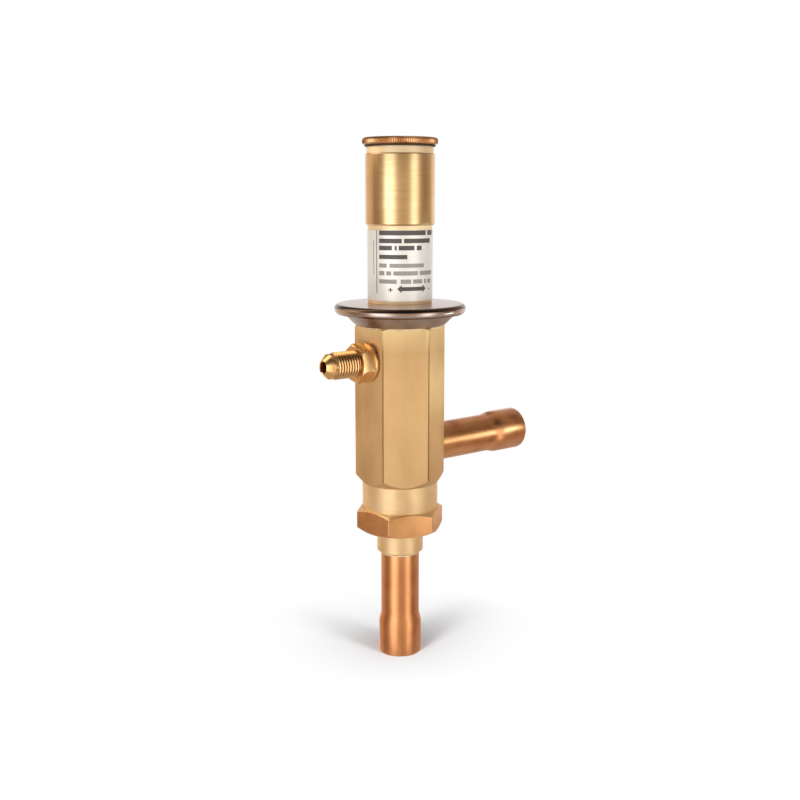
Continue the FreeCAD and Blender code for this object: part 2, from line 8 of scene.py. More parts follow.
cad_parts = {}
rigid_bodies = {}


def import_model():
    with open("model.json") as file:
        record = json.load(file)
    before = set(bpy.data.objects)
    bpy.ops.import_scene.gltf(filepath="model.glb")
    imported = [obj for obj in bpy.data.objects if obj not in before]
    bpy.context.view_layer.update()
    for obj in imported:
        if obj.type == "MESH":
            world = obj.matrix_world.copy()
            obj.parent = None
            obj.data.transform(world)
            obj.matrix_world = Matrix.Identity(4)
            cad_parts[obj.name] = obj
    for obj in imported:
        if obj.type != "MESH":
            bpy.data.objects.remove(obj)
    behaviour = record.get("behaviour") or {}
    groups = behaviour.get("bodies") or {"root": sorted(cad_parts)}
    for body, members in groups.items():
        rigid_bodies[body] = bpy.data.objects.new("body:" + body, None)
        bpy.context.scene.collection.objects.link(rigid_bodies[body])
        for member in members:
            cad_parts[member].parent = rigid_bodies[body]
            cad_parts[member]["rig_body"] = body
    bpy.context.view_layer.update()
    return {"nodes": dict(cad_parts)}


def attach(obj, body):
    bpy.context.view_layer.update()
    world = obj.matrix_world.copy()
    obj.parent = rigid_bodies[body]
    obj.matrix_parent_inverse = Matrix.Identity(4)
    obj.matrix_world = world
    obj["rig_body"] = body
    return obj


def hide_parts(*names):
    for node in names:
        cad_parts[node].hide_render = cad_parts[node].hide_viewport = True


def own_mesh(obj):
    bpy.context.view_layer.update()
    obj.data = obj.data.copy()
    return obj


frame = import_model()

MM = 0.001
TURN = 2 * math.pi

# Heights, lengths and radii of the CAD part, in millimetres
tube_outer, tube_inner, socket_outer, socket_inner = 8.2, 7.05, 9.15, 8.0
foot_swage, foot_taper, inlet_stop, outlet_stop = 14.0, 17.3, 53.8, 12.5
across_flats, flat_face = 33.0, 16.5
boss_foot, nut_foot, body_foot, body_top = 45.8, 55.8, 65.3, 143.35
spigot_radius, spigot_top, crown_radius, crown_top = 13.0, 76.8, 14.0, 148.1
outlet_height, outlet_end = 90.75, 66.3
pilot_height, pilot_face, pilot_bore = 129.1, -17.3, 5.0
case_floor, flange_foot, flange_top, clamp_top = 143.45, 149.4, 150.7, 151.0
flange_radius, rim_inner, rim_radius, rim_foot, rim_top = 25.5, 26.0, 27.3, 148.1, 152.3
housing_foot, collar_top, sleeve_foot, neck_foot, mouth = 151.6, 152.9, 184.2, 212.7, 215.5
housing_bore, bore_top = 10.8, 209.65
collar_radius, barrel_radius, sleeve_radius = 12.6, 13.25, 14.25
cap_foot, cap_top = 216.25, 218.95
film_foot, film_height, film_radius, film_gap = 154.2, 28.3, 13.28, 3.0
film_thick, ink_thick = 0.15, 0.01


# Modelling by hand

def put_down():
    """Leaves edit mode with nothing selected."""
    if bpy.context.mode != "OBJECT":
        bpy.ops.object.mode_set(mode="OBJECT")
    bpy.ops.object.select_all(action="DESELECT")


def take_up(*pieces):
    """Selects pieces and makes the first one active."""
    put_down()
    for piece in pieces:
        piece.select_set(True)
    bpy.context.view_layer.objects.active = pieces[0]


def settle(piece):
    """Puts a piece's place, turn and size into its mesh."""
    take_up(piece)
    bpy.ops.object.transform_apply(location=True, rotation=True, scale=True)


def close_up(piece):
    """Merges what meets and turns every face outwards."""
    take_up(piece)
    bpy.ops.object.mode_set(mode="EDIT")
    bpy.ops.mesh.select_all(action="SELECT")
    bpy.ops.mesh.remove_doubles(threshold=0.001 * MM)
    bpy.ops.mesh.normals_make_consistent(inside=False)
    put_down()


def turned(name, outline, sides=96):
    """Draws a turned piece up ring by ring along its outline of (radius, height).
    Where the outline starts or ends on the axis, a flat face closes it."""
    put_down()
    rings = [point for point in outline if point[0] > 0]
    radius, height = rings[0]
    bpy.ops.mesh.primitive_circle_add(
        vertices=sides, radius=radius * MM, location=(0, 0, height * MM),
        fill_type="NGON" if outline[0][0] == 0 else "NOTHING",
    )
    piece = bpy.context.object
    piece.name = name
    settle(piece)
    bpy.ops.object.mode_set(mode="EDIT")
    bpy.ops.mesh.select_all(action="SELECT")
    for wide, high in rings[1:]:
        bpy.ops.mesh.extrude_edges_move(
            TRANSFORM_OT_translate={"value": (0, 0, (high - height) * MM)}
        )
        grow = wide / radius
        bpy.ops.transform.resize(value=(grow, grow, 1), center_override=(0, 0, high * MM))
        radius, height = wide, high
    if outline[-1][0] == 0:
        bpy.ops.mesh.edge_face_add()
    close_up(piece)
    return piece


def stepped(name, steps, top):
    """A solid in plain steps up the axis. Each step is its (radius, start), up to the next."""
    levels = [start for radius, start in steps[1:]] + [top]
    outline = [(0, steps[0][1])]
    for (radius, start), end in zip(steps, levels):
        outline += [(radius, start), (radius, end)]
    return turned(name, [*outline, (0, top)])


def six_sided(name, flats, bottom, top, turn=0.0):
    """Hexagon bar with a flat towards +X when turn is 0."""
    put_down()
    bpy.ops.mesh.primitive_cylinder_add(
        vertices=6, radius=flats / math.sqrt(3) * MM, depth=(top - bottom) * MM,
        location=(0, 0, (top + bottom) / 2 * MM), rotation=(0, 0, math.radians(turn)),
    )
    bar = bpy.context.object
    bar.name = name
    settle(bar)
    return bar


def lay(piece, turn, x, z):
    """Lays a standing piece over about Y and moves it out along X."""
    piece.rotation_euler = (0, math.radians(turn), 0)
    piece.location = (x * MM, 0, z * MM)
    settle(piece)
    return piece


def apply(piece, kind, **settings):
    """Adds a modifier with these settings and applies it."""
    take_up(piece)
    modifier = piece.modifiers.new(kind.lower(), kind)
    for name, value in settings.items():
        setattr(modifier, name, value)
    bpy.ops.object.modifier_apply(modifier=modifier.name)


def combine(piece, tool, operation):
    """Unites, crosses or cuts a piece with a tool, which is used up."""
    apply(piece, "BOOLEAN", object=tool, operation=operation, solver="EXACT")
    bpy.data.objects.remove(tool)
    close_up(piece)


def soften(piece, width, segments=2, angle=32.0):
    """Takes the sharpness off every edge."""
    apply(
        piece, "BEVEL", width=width * MM, segments=segments, limit_method="ANGLE",
        angle_limit=math.radians(angle), use_clamp_overlap=True,
    )


def bend_rings(piece, rings, width, segments):
    """Rounds the turned edges that lie at these (radius, height) places."""
    take_up(piece)
    bpy.ops.object.mode_set(mode="EDIT")
    bpy.ops.mesh.select_all(action="DESELECT")
    mesh = bmesh.from_edit_mesh(piece.data)
    for edge in mesh.edges:
        a, b = (vertex.co for vertex in edge.verts)
        for radius, height in rings:
            level = max(abs(a.z - height * MM), abs(b.z - height * MM))
            reach = max(abs(a.xy.length - radius * MM), abs(b.xy.length - radius * MM))
            if max(level, reach) < 0.02 * MM:
                edge.select = True
    bmesh.update_edit_mesh(piece.data)
    bpy.ops.mesh.bevel(offset=width * MM, segments=segments, affect="EDGES")
    put_down()


def smooth(piece, angle=35.0):
    """Shades a piece smooth, but for edges sharper than this angle."""
    take_up(piece)
    bpy.ops.object.shade_smooth_by_angle(angle=math.radians(angle))


def wavy(piece, height, size):
    """Gives braze its uneven surface, from a soft cloud pattern."""
    clouds = bpy.data.textures.new(piece.name + "_flow", "CLOUDS")
    clouds.noise_scale = size * MM
    clouds.noise_depth = 2
    apply(
        piece, "DISPLACE", texture=clouds, texture_coords="GLOBAL", strength=height * MM,
        mid_level=0.5, direction="NORMAL",
    )


def stands_for(piece, node, material):
    """Puts a finished piece in a CAD node's place, on the same body."""
    piece.name = "shown_" + node
    piece.data.name = piece.name
    if material:
        piece.data.materials.clear()
        piece.data.materials.append(material)
    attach(piece, frame["nodes"][node]["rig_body"])
    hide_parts(node)
    return piece


def thread(radius, pitch, bottom, top, tooth):
    """Sixty degree thread as a ridge wound up the axis. Tooth is its corners' reach."""
    put_down()
    bpy.ops.mesh.primitive_circle_add(
        vertices=3, radius=tooth * MM, location=((radius - tooth) * MM, 0, (bottom - pitch) * MM),
        rotation=(math.radians(90), math.radians(90), 0),
    )
    ridge = bpy.context.object
    settle(ridge)
    turns = math.ceil((top - bottom) / pitch) + 2
    apply(
        ridge, "SCREW", axis="Z", screw_offset=pitch * MM, iterations=turns, steps=48,
        render_steps=48, use_merge_vertices=True, merge_threshold=0.001 * MM,
    )
    bpy.ops.object.mode_set(mode="EDIT")
    bpy.ops.mesh.select_all(action="SELECT")
    bpy.ops.mesh.fill_holes(sides=3)
    close_up(ridge)
    return ridge


def wire_coil(name, outer, wire, bottom, top, turns, sides=14, steps=36):
    """Round wire spring with a closed coil at each end."""
    closed = 1.1 * wire
    middle = outer - wire / 2
    first = bottom + wire / 2
    rise = top - bottom - wire - 2 * closed
    runs = [(0.0, 1.0, first, closed), (1.0, turns - 2, first + closed, rise),
            (turns - 1, 1.0, first + closed + rise, closed)]
    coils = []
    for start, length, height, lift in runs:
        put_down()
        bpy.ops.mesh.primitive_circle_add(
            vertices=sides, radius=wire / 2 * MM, location=(middle * MM, 0, height * MM),
            rotation=(math.radians(90), 0, 0),
        )
        coil = bpy.context.object
        settle(coil)
        count = round(steps * length)
        apply(
            coil, "SCREW", axis="Z", angle=TURN * length, screw_offset=lift * MM,
            steps=count, render_steps=count,
        )
        coil.rotation_euler = (0, 0, TURN * start)
        settle(coil)
        coils.append(coil)
    take_up(*coils)
    bpy.ops.object.join()
    spring = bpy.context.object
    spring.name = name
    bpy.ops.object.mode_set(mode="EDIT")
    bpy.ops.mesh.select_all(action="SELECT")
    bpy.ops.mesh.remove_doubles(threshold=0.01 * MM)
    bpy.ops.mesh.fill_holes(sides=sides)
    close_up(spring)
    smooth(spring, 50)
    return spring


# Finishes

def tint(red, green, blue):
    """A colour as it shows on a screen, from 0 to 255, for a shader."""
    shares = [c / 255 / 12.92 if c <= 10 else ((c / 255 + 0.055) / 1.055) ** 2.4
              for c in (red, green, blue)]
    return (*shares, 1.0)


def new_finish(name, metallic):
    """A new material with its nodes and its shader."""
    finish = bpy.data.materials.new(name)
    finish.use_nodes = True
    shader = finish.node_tree.nodes["Principled BSDF"]
    shader.inputs["Metallic"].default_value = metallic
    return finish.node_tree, shader, finish


def grain(tree, scale, detail=3.0, rough=0.5):
    """Noise on the piece's own coordinates, with its own count of grains a metre each way."""
    place = tree.nodes.new("ShaderNodeTexCoord")
    stretch = tree.nodes.new("ShaderNodeMapping")
    stretch.inputs["Scale"].default_value = scale
    noise = tree.nodes.new("ShaderNodeTexNoise")
    noise.inputs["Scale"].default_value = 1.0
    noise.inputs["Detail"].default_value = detail
    noise.inputs["Roughness"].default_value = rough
    tree.links.new(place.outputs["Object"], stretch.inputs["Vector"])
    tree.links.new(stretch.outputs["Vector"], noise.inputs["Vector"])
    return noise.outputs[0]


def spread(tree, factor, low, high, start=0.3, end=0.7):
    """Maps a pattern between two numbers."""
    span = tree.nodes.new("ShaderNodeMapRange")
    for name, value in (("From Min", start), ("From Max", end), ("To Min", low), ("To Max", high)):
        span.inputs[name].default_value = value
    tree.links.new(factor, span.inputs["Value"])
    return span.outputs["Result"]


def tones(tree, factor, *stops):
    """Maps a pattern to colours at the stops (place, colour)."""
    ramp = tree.nodes.new("ShaderNodeValToRGB")
    marks = ramp.color_ramp.elements
    while len(marks) < len(stops):
        marks.new(0.5)
    for mark, (place, shade) in zip(marks, stops):
        mark.position = place
        mark.color = shade
    tree.links.new(factor, ramp.inputs["Fac"])
    return ramp.outputs["Color"]


def blend_colours(tree, factor, below, above):
    """Lays one colour over another where the factor says."""
    mix = tree.nodes.new("ShaderNodeMix")
    mix.data_type = "RGBA"
    for socket, value in ((mix.inputs[0], factor), (mix.inputs[6], below), (mix.inputs[7], above)):
        if isinstance(value, (int, float, tuple)):
            socket.default_value = value
        else:
            tree.links.new(value, socket)
    return mix.outputs[2]


def relief(tree, shader, height, strength, depth):
    """Bump from a pattern, its depth in millimetres."""
    bump = tree.nodes.new("ShaderNodeBump")
    bump.inputs["Strength"].default_value = strength
    bump.inputs["Distance"].default_value = depth * MM
    tree.links.new(height, bump.inputs["Height"])
    tree.links.new(bump.outputs["Normal"], shader.inputs["Normal"])


def height_mask(tree, axis, low, high):
    """0 below the low mark and 1 above the high one, along an axis of the piece, in mm."""
    place = tree.nodes.new("ShaderNodeTexCoord")
    parts = tree.nodes.new("ShaderNodeSeparateXYZ")
    tree.links.new(place.outputs["Object"], parts.inputs["Vector"])
    return spread(tree, parts.outputs[axis], 0.0, 1.0, low * MM, high * MM)


def radius_mask(tree, low, high, across=(1, 1, 0), height=0.0):
    """0 inside the low radius and 1 outside the high one, in mm from an axis at this height."""
    place = tree.nodes.new("ShaderNodeTexCoord")
    centre = tree.nodes.new("ShaderNodeVectorMath")
    centre.operation = "SUBTRACT"
    centre.inputs[1].default_value = (0, 0, height * MM)
    level = tree.nodes.new("ShaderNodeVectorMath")
    level.operation = "MULTIPLY"
    level.inputs[1].default_value = across
    reach = tree.nodes.new("ShaderNodeVectorMath")
    reach.operation = "LENGTH"
    tree.links.new(place.outputs["Object"], centre.inputs[0])
    tree.links.new(centre.outputs["Vector"], level.inputs[0])
    tree.links.new(level.outputs["Vector"], reach.inputs[0])
    return spread(tree, reach.outputs["Value"], 0.0, 1.0, low * MM, high * MM)


def coat(tree, shader, colour, roughness):
    """Gives a finish its colour and its roughness."""
    tree.links.new(colour, shader.inputs["Base Color"])
    tree.links.new(roughness, shader.inputs["Roughness"])


def draw_out(tree, shader, share):
    """Spreads highlights sideways, as on bar that was drawn along the axis."""
    place = tree.nodes.new("ShaderNodeTexCoord")
    across = tree.nodes.new("ShaderNodeVectorMath")
    across.operation = "CROSS_PRODUCT"
    across.inputs[0].default_value = (0, 0, 1)
    tree.links.new(place.outputs["Object"], across.inputs[1])
    tree.links.new(across.outputs["Vector"], shader.inputs["Tangent"])
    shader.inputs["Anisotropic"].default_value = share


def satin_finish(name, light, mid, dark, smooth_to, rough_to, cloud_count=90):
    """Drawn or wrought metal with a fine even grain and slow cloudy changes of tone."""
    tree, shader, finish = new_finish(name, 1.0)
    fine = grain(tree, (2600, 2600, 2600), 2.0)
    clouds = grain(tree, (cloud_count, cloud_count, cloud_count), 4.0, 0.55)
    colour = tones(tree, clouds, (0.28, dark), (0.5, mid), (0.72, light))
    speckled = blend_colours(tree, spread(tree, fine, 0.0, 0.18, 0.35, 0.65), colour, dark)
    coat(tree, shader, speckled, spread(tree, clouds, smooth_to, rough_to))
    relief(tree, shader, fine, 0.25, 0.015)
    return finish


def sleeve_brass():
    """Turned brass. The tube under the sleeve and the neck over it are paler and duller."""
    tree, shader, finish = new_finish("sleeve_brass", 1.0)
    rings = grain(tree, (36, 36, 5200), 2.0)
    streaks = grain(tree, (60, 60, 1900), 3.0)
    clouds = grain(tree, (90, 90, 60), 3.0)
    colour = tones(tree, clouds, (0.3, tint(226, 194, 147)), (0.5, tint(232, 202, 157)),
                   (0.7, tint(238, 210, 168)))
    lined = blend_colours(tree, spread(tree, streaks, 0.0, 0.3, 0.35, 0.75), colour,
                          tint(196, 154, 104))
    sleeve = radius_mask(tree, 13.7, 14.0)
    shade = blend_colours(tree, sleeve, tint(252, 226, 186), lined)
    coat(tree, shader, shade, spread(tree, sleeve, 0.5, 0.25, 0.0, 1.0))
    tree.links.new(spread(tree, sleeve, 0.74, 1.0, 0.0, 1.0), shader.inputs["Metallic"])
    relief(tree, shader, rings, 0.3, 0.006)
    return finish


def turned_brass():
    """Dull turned brass: fine rings up the axis over slow changes of tone."""
    tree, shader, finish = new_finish("turned_brass", 1.0)
    light, mid, dark = tint(254, 228, 184), tint(250, 220, 174), tint(236, 200, 150)
    rings = grain(tree, (36, 36, 3000), 2.0)
    streaks = grain(tree, (70, 70, 900), 3.0)
    clouds = grain(tree, (90, 90, 60), 3.0)
    colour = tones(tree, clouds, (0.3, dark), (0.5, mid), (0.7, light))
    lined = blend_colours(tree, spread(tree, streaks, 0.0, 0.3, 0.2, 0.8), colour, dark)
    coat(tree, shader, lined, spread(tree, streaks, 0.46, 0.54, 0.2, 0.8))
    relief(tree, shader, rings, 0.25, 0.006)
    return finish


def drawn_brass(name, light, mid, dark):
    """Bar stock, drawn along the axis, and paler towards the top: partly heat tint from brazing
    there, partly painted light from above.
    """
    tree, shader, finish = new_finish(name, 1.0)
    lines = grain(tree, (2600, 2600, 160), 2.0)
    clouds = grain(tree, (70, 70, 34), 4.0, 0.55)
    colour = tones(tree, clouds, (0.28, dark), (0.5, mid), (0.72, light))
    lined = blend_colours(tree, spread(tree, lines, 0.0, 0.16, 0.35, 0.65), colour, dark)
    # Paler towards the top: heat tint from the braze, and painted light falling from above.
    heat_and_light_foot, heat_and_light_share = 133, 0.8
    near_braze = height_mask(tree, "Z", heat_and_light_foot, body_top)
    paler_end_share = spread(tree, near_braze, 0.0, heat_and_light_share, 0.0, 1.0)
    paler_end_colour = blend_colours(tree, paler_end_share, lined, tint(255, 229, 176))
    coat(tree, shader, paler_end_colour, spread(tree, clouds, 0.42, 0.5))
    relief(tree, shader, lines, 0.2, 0.012)
    draw_out(tree, shader, 0.75)
    return finish


def body_brass():
    return drawn_brass("body_brass", tint(234, 198, 149), tint(224, 187, 138), tint(212, 173, 124))


def edge_brass():
    return drawn_brass("edge_brass", tint(176, 136, 92), tint(158, 120, 79), tint(138, 104, 67))


def nut_brass():
    return satin_finish("nut_brass", tint(236, 184, 130), tint(226, 170, 118), tint(208, 150, 102),
                        0.38, 0.48)


def fitting_brass():
    """Bright turned brass, with painted shade down in the thread's grooves."""
    tree, shader, finish = new_finish("fitting_brass", 1.0)
    rings = grain(tree, (2400, 36, 36), 2.0)
    clouds = grain(tree, (90, 90, 90), 3.0)
    colour = tones(tree, clouds, (0.3, tint(222, 168, 108)), (0.5, tint(238, 192, 134)),
                   (0.7, tint(248, 210, 156)))
    # Painted shade: darker brass below the thread's crests.
    crest = radius_mask(tree, 4.95, 5.4, (0, 1, 1), pilot_height)
    groove_shade = blend_colours(tree, crest, tint(160, 106, 58), colour)
    thread_end = pilot_face - 17.5
    threaded = height_mask(tree, "X", thread_end, thread_end + 0.3)
    coat(tree, shader, blend_colours(tree, threaded, colour, groove_shade), spread(tree, clouds, 0.22, 0.3))
    relief(tree, shader, rings, 0.25, 0.006)
    return finish


def cap_bronze():
    return satin_finish("cap_bronze", tint(230, 184, 140), tint(210, 160, 116), tint(180, 126, 86),
                        0.2, 0.32, 160)


def drawn_copper(name, along):
    """Drawn copper tube: streaks along the tube, faint oxide clouds, and a paler brazed end."""
    tree, shader, finish = new_finish(name, 1.0)
    counts = [30.0 if axis == along else 1500.0 for axis in "XYZ"]
    streaks = grain(tree, counts, 2.0)
    clouds = grain(tree, (120, 120, 120), 4.0, 0.6)
    colour = tones(tree, clouds, (0.25, tint(206, 138, 92)), (0.5, tint(222, 156, 108)),
                   (0.75, tint(230, 168, 120)))
    lined = blend_colours(tree, spread(tree, streaks, 0.0, 0.3), colour, tint(184, 112, 68))
    if along == "Z":
        near_braze = height_mask(tree, "Z", boss_foot - 9, boss_foot)
    else:
        smudge = grain(tree, (90, 90, 90), 2.0)
        dull = spread(tree, smudge, 0.0, 0.7, 0.52, 0.74)
        lined = blend_colours(tree, dull, lined, tint(150, 90, 52))
        near_braze = height_mask(tree, "X", flat_face + 7.5, flat_face)
    paler_end_share = spread(tree, near_braze, 0.0, 0.55, 0.0, 1.0)
    paler_end_colour = blend_colours(tree, paler_end_share, lined, tint(232, 176, 120))
    coat(tree, shader, paler_end_colour, spread(tree, clouds, 0.28, 0.36))
    relief(tree, shader, streaks, 0.08, 0.006)
    return finish


def lid_steel():
    """Plated sheet with painted light: a dark reflection on the rim's upper bend, a highlight
    along the rim, shade under the hem.
    """
    tree, shader, finish = new_finish("lid_steel", 1.0)
    rings = grain(tree, (36, 36, 1500), 2.0)
    clouds = grain(tree, (90, 90, 60), 3.0)
    plate = tones(tree, clouds, (0.3, tint(172, 150, 138)), (0.5, tint(188, 166, 156)),
                  (0.7, tint(200, 180, 170)))
    # Painted dark reflection: a dark band on the upper outer bend of the rim.
    bend = spread(tree, radius_mask(tree, rim_radius - 1.8, rim_radius - 1.2), 0.0, 0.9, 0.0, 1.0)
    bent = blend_colours(tree, bend, plate, tint(72, 54, 44))
    # Painted highlight: a paler band along the lower part of the rolled rim.
    edge = height_mask(tree, "Z", rim_top - 1.7, rim_top - 2.0)
    painted_rim_highlight = blend_colours(tree, edge, plate, tint(190, 174, 168))
    crest = height_mask(tree, "Z", rim_top - 1.55, rim_top - 1.25)
    front = blend_colours(tree, crest, painted_rim_highlight, bent)
    # Painted shade under the hem, where the rim is folded under.
    hem_shade_mask = height_mask(tree, "Z", rim_foot + 1.1, rim_foot + 0.5)
    shade = blend_colours(tree, hem_shade_mask, front, tint(104, 80, 66))
    coat(tree, shader, shade, spread(tree, clouds, 0.2, 0.26))
    relief(tree, shader, rings, 0.2, 0.006)
    return finish


def shell_steel():
    return satin_finish("shell_steel", tint(190, 174, 162), tint(173, 156, 144),
                        tint(152, 134, 122), 0.36, 0.46)


def braze_metal():
    """Pale braze, duller than clean metal."""
    finish = satin_finish("braze_metal", tint(255, 244, 214), tint(250, 228, 188),
                          tint(226, 190, 142), 0.3, 0.5, 500)
    finish.node_tree.nodes["Principled BSDF"].inputs["Metallic"].default_value = 0.35
    return finish


def spring_steel():
    return satin_finish("spring_steel", tint(150, 150, 152), tint(132, 132, 134),
                        tint(104, 104, 108), 0.3, 0.42)


def plated_steel():
    return satin_finish("plated_steel", tint(206, 206, 200), tint(190, 190, 184),
                        tint(168, 168, 160), 0.25, 0.36)


def plain_steel():
    return satin_finish("plain_steel", tint(188, 188, 190), tint(172, 172, 174),
                        tint(148, 148, 152), 0.22, 0.34)


# Copper darkened far below its own colour: painted shadow for the gap behind the fitting's collar.
def gasket_painted_shade():
    return satin_finish("gasket_painted_shade", tint(128, 80, 48), tint(108, 66, 40), tint(84, 50, 30),
                        0.4, 0.5)


def moulded_finish(name, count, dark, light, smooth_to, rough_to, strength):
    """Rubber or plastic, with a fine even grain."""
    tree, shader, finish = new_finish(name, 0.0)
    fine = grain(tree, (count, count, count), 3.0)
    colour = tones(tree, fine, (0.3, dark), (0.7, light))
    coat(tree, shader, colour, spread(tree, fine, smooth_to, rough_to))
    relief(tree, shader, fine, strength, 0.02)
    return finish


def black_rubber():
    return moulded_finish("black_rubber", 3000, tint(34, 20, 10), tint(56, 36, 20), 0.5, 0.7, 0.3)


def white_plastic():
    return moulded_finish("white_plastic", 1200, tint(222, 220, 212), tint(238, 236, 230),
                          0.35, 0.5, 0.15)


def label_film():
    """Off-white metallised film, a little cloudy, with a soft gloss."""
    tree, shader, finish = new_finish("label_film", 0.25)
    clouds = grain(tree, (120, 120, 70), 3.0)
    fine = grain(tree, (2400, 2400, 2400), 2.0)
    colour = tones(tree, clouds, (0.3, tint(212, 206, 198)), (0.7, tint(226, 221, 214)))
    dust = spread(tree, fine, 0.0, 0.12, 0.4, 0.7)
    dusty = blend_colours(tree, dust, colour, tint(190, 182, 172))
    coat(tree, shader, dusty, spread(tree, clouds, 0.32, 0.42))
    relief(tree, shader, fine, 0.1, 0.01)
    return finish


def printed_ink(name, dark, light):
    tree, shader, finish = new_finish(name, 0.0)
    fine = grain(tree, (2600, 2600, 2600), 2.0)
    colour = tones(tree, fine, (0.3, dark), (0.7, light))
    coat(tree, shader, colour, spread(tree, fine, 0.4, 0.55))
    return finish


brass_sleeve, brass_turned, brass_body = sleeve_brass(), turned_brass(), body_brass()
brass_edge, brass_nut, brass_fitting = edge_brass(), nut_brass(), fitting_brass()
bronze = cap_bronze()
copper_up, copper_out = drawn_copper("copper_up", "Z"), drawn_copper("copper_out", "X")
steel_lid, steel_shell, steel_spring = lid_steel(), shell_steel(), spring_steel()
steel_plated, steel_plain, gasket_in_painted_shade = plated_steel(), plain_steel(), gasket_painted_shade()
braze, rubber, plastic, film = braze_metal(), black_rubber(), white_plastic(), label_film()
black_ink = printed_ink("black_ink", tint(58, 54, 52), tint(84, 80, 78))
grey_ink = printed_ink("grey_ink", tint(122, 116, 110), tint(146, 140, 134))


# Cap, seal and housing

def make_cap():
    """Knurled disc: each second crest is drawn in between two plain rims."""
    radius, valley, rim, flat, edge, teeth = 15.36, 15.06, 14.56, 14.0, 0.5, 107
    disc = turned("cap", [
        (0, cap_foot), (rim, cap_foot), (radius, cap_foot + edge), (radius, cap_top - edge),
        (rim, cap_top), (flat, cap_top), (0, cap_top),
    ], 2 * teeth)
    take_up(disc)
    bpy.ops.object.mode_set(mode="EDIT")
    bpy.ops.mesh.select_mode(type="VERT")
    bpy.ops.mesh.select_all(action="DESELECT")
    mesh = bmesh.from_edit_mesh(disc.data)
    for vertex in mesh.verts:
        tooth = round(math.atan2(vertex.co.y, vertex.co.x) / TURN * 2 * teeth - 0.5)
        if vertex.co.xy.length > (radius - 0.1) * MM and tooth % 2:
            vertex.select = True
    bmesh.update_edit_mesh(disc.data)
    shrink = valley / radius
    bpy.ops.transform.resize(value=(shrink, shrink, 1), center_override=(0, 0, cap_foot * MM))
    put_down()
    plug_radius, plug_foot, lead, sunk = 11.25, 209.7, 0.35, 0.3
    core = turned("plug", [
        (0, plug_foot), (plug_radius - lead, plug_foot), (plug_radius, plug_foot + lead),
        (plug_radius, cap_foot + sunk), (0, cap_foot + sunk),
    ])
    ridge = thread(plug_radius + 0.55, 1.0, plug_foot + 0.4, cap_foot - 0.2, 0.42)
    combine(core, ridge, "UNION")
    combine(disc, core, "UNION")
    soften(disc, 0.06, 1, 50)
    smooth(disc, 28)
    return stands_for(disc, "knurled_cap", bronze)


def make_cap_seal():
    inner, outer = 11.95, 14.4
    ring = turned("seal", [
        (inner, mouth), (outer, mouth), (outer, cap_foot), (inner, cap_foot), (inner, mouth),
    ])
    soften(ring, 0.25, 3)
    smooth(ring)
    return stands_for(ring, "cap_seal", rubber)


def make_housing():
    neck_outer, neck_inner, under, over = 13.6, 11.85, 0.6, 0.3
    housing = turned("housing", [
        (housing_bore, housing_foot), (collar_radius, housing_foot), (collar_radius, collar_top),
        (barrel_radius, collar_top), (barrel_radius, sleeve_foot),
        (sleeve_radius - under, sleeve_foot), (sleeve_radius, sleeve_foot + under),
        (sleeve_radius, neck_foot - over), (sleeve_radius - over, neck_foot),
        (neck_outer, neck_foot), (neck_outer, mouth), (neck_inner, mouth),
        (neck_inner, bore_top), (housing_bore, bore_top), (housing_bore, housing_foot),
    ], 128)
    soften(housing, 0.14, 2)
    smooth(housing)
    return stands_for(housing, "spring_housing", brass_sleeve)


# Label

ink_front = -(film_thick + ink_thick) * MM


def printed_bar(start, end, low, high):
    """One bar of ink on the flat film, in steps of half a millimetre so that it can bend."""
    put_down()
    bpy.ops.mesh.primitive_grid_add(
        x_subdivisions=max(1, round((end - start) / 0.5)), y_subdivisions=1, size=MM,
        location=((start + end) / 2 * MM, ink_front, (low + high) / 2 * MM),
        rotation=(math.radians(90), 0, 0),
    )
    bar = bpy.context.object
    bar.scale = (end - start, high - low, 1)
    settle(bar)
    return bar


def arrow_head(tip, back, height, tall):
    """A triangle of ink, drawn with equal sides and then brought to its size."""
    put_down()
    bpy.ops.mesh.primitive_circle_add(
        vertices=3, radius=MM, fill_type="NGON", location=(0, 0, 0),
        rotation=(0, 0, math.radians(90 if tip < back else -90)),
    )
    head = bpy.context.object
    settle(head)
    bpy.ops.object.mode_set(mode="EDIT")
    bpy.ops.mesh.select_all(action="SELECT")
    bpy.ops.mesh.subdivide(number_cuts=5)
    put_down()
    # With equal sides and a radius of 1 it is 1.5 long and the root of 3 tall.
    head.scale = (abs(back - tip) / 1.5, tall / math.sqrt(3), 1)
    head.rotation_euler = (math.radians(90), 0, 0)
    head.location = ((tip + (back - tip) * 2 / 3) * MM, ink_front, height * MM)
    settle(head)
    return head


